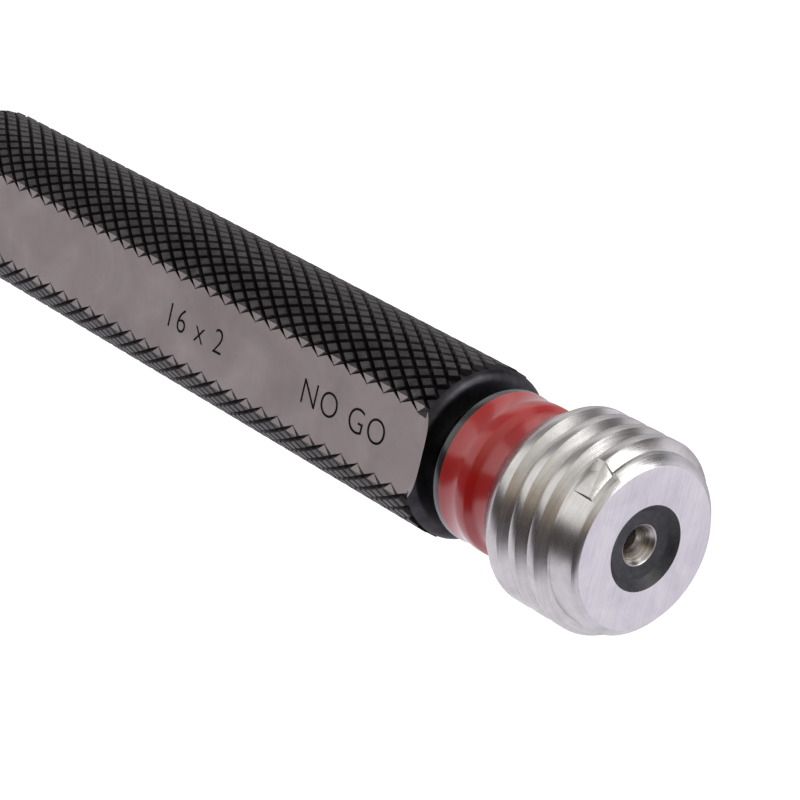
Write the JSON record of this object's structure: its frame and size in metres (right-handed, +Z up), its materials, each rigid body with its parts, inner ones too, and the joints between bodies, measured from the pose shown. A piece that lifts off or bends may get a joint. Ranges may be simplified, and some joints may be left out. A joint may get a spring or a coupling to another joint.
{
  "type": "thread plug gauge",
  "caption": "Double-ended thread plug gauge: a knurled round handle with a marking flat holds a GO and a NO GO threaded member on taper shanks, for checking internal threads.",
  "frame": {"origin": "centre of the flat end face of the GO member, on which the gauge stands", "axes": "+Z up the common axis of handle and members towards the NO GO end; the handle's marking flat faces -Y"},
  "size_m": [0.016, 0.016, 0.1143],
  "materials": {
    "blackened_steel": "black oxide over a diamond knurl",
    "gauge_steel": "ground and lapped; red lacquer in the NO GO member's undercut and collar, black on the last ring of the collar"
  },
  "bodies": {
    "root": {"handle": "blackened_steel", "go_member": "gauge_steel", "nogo_member": "gauge_steel"}
  },
  "joints": []
}
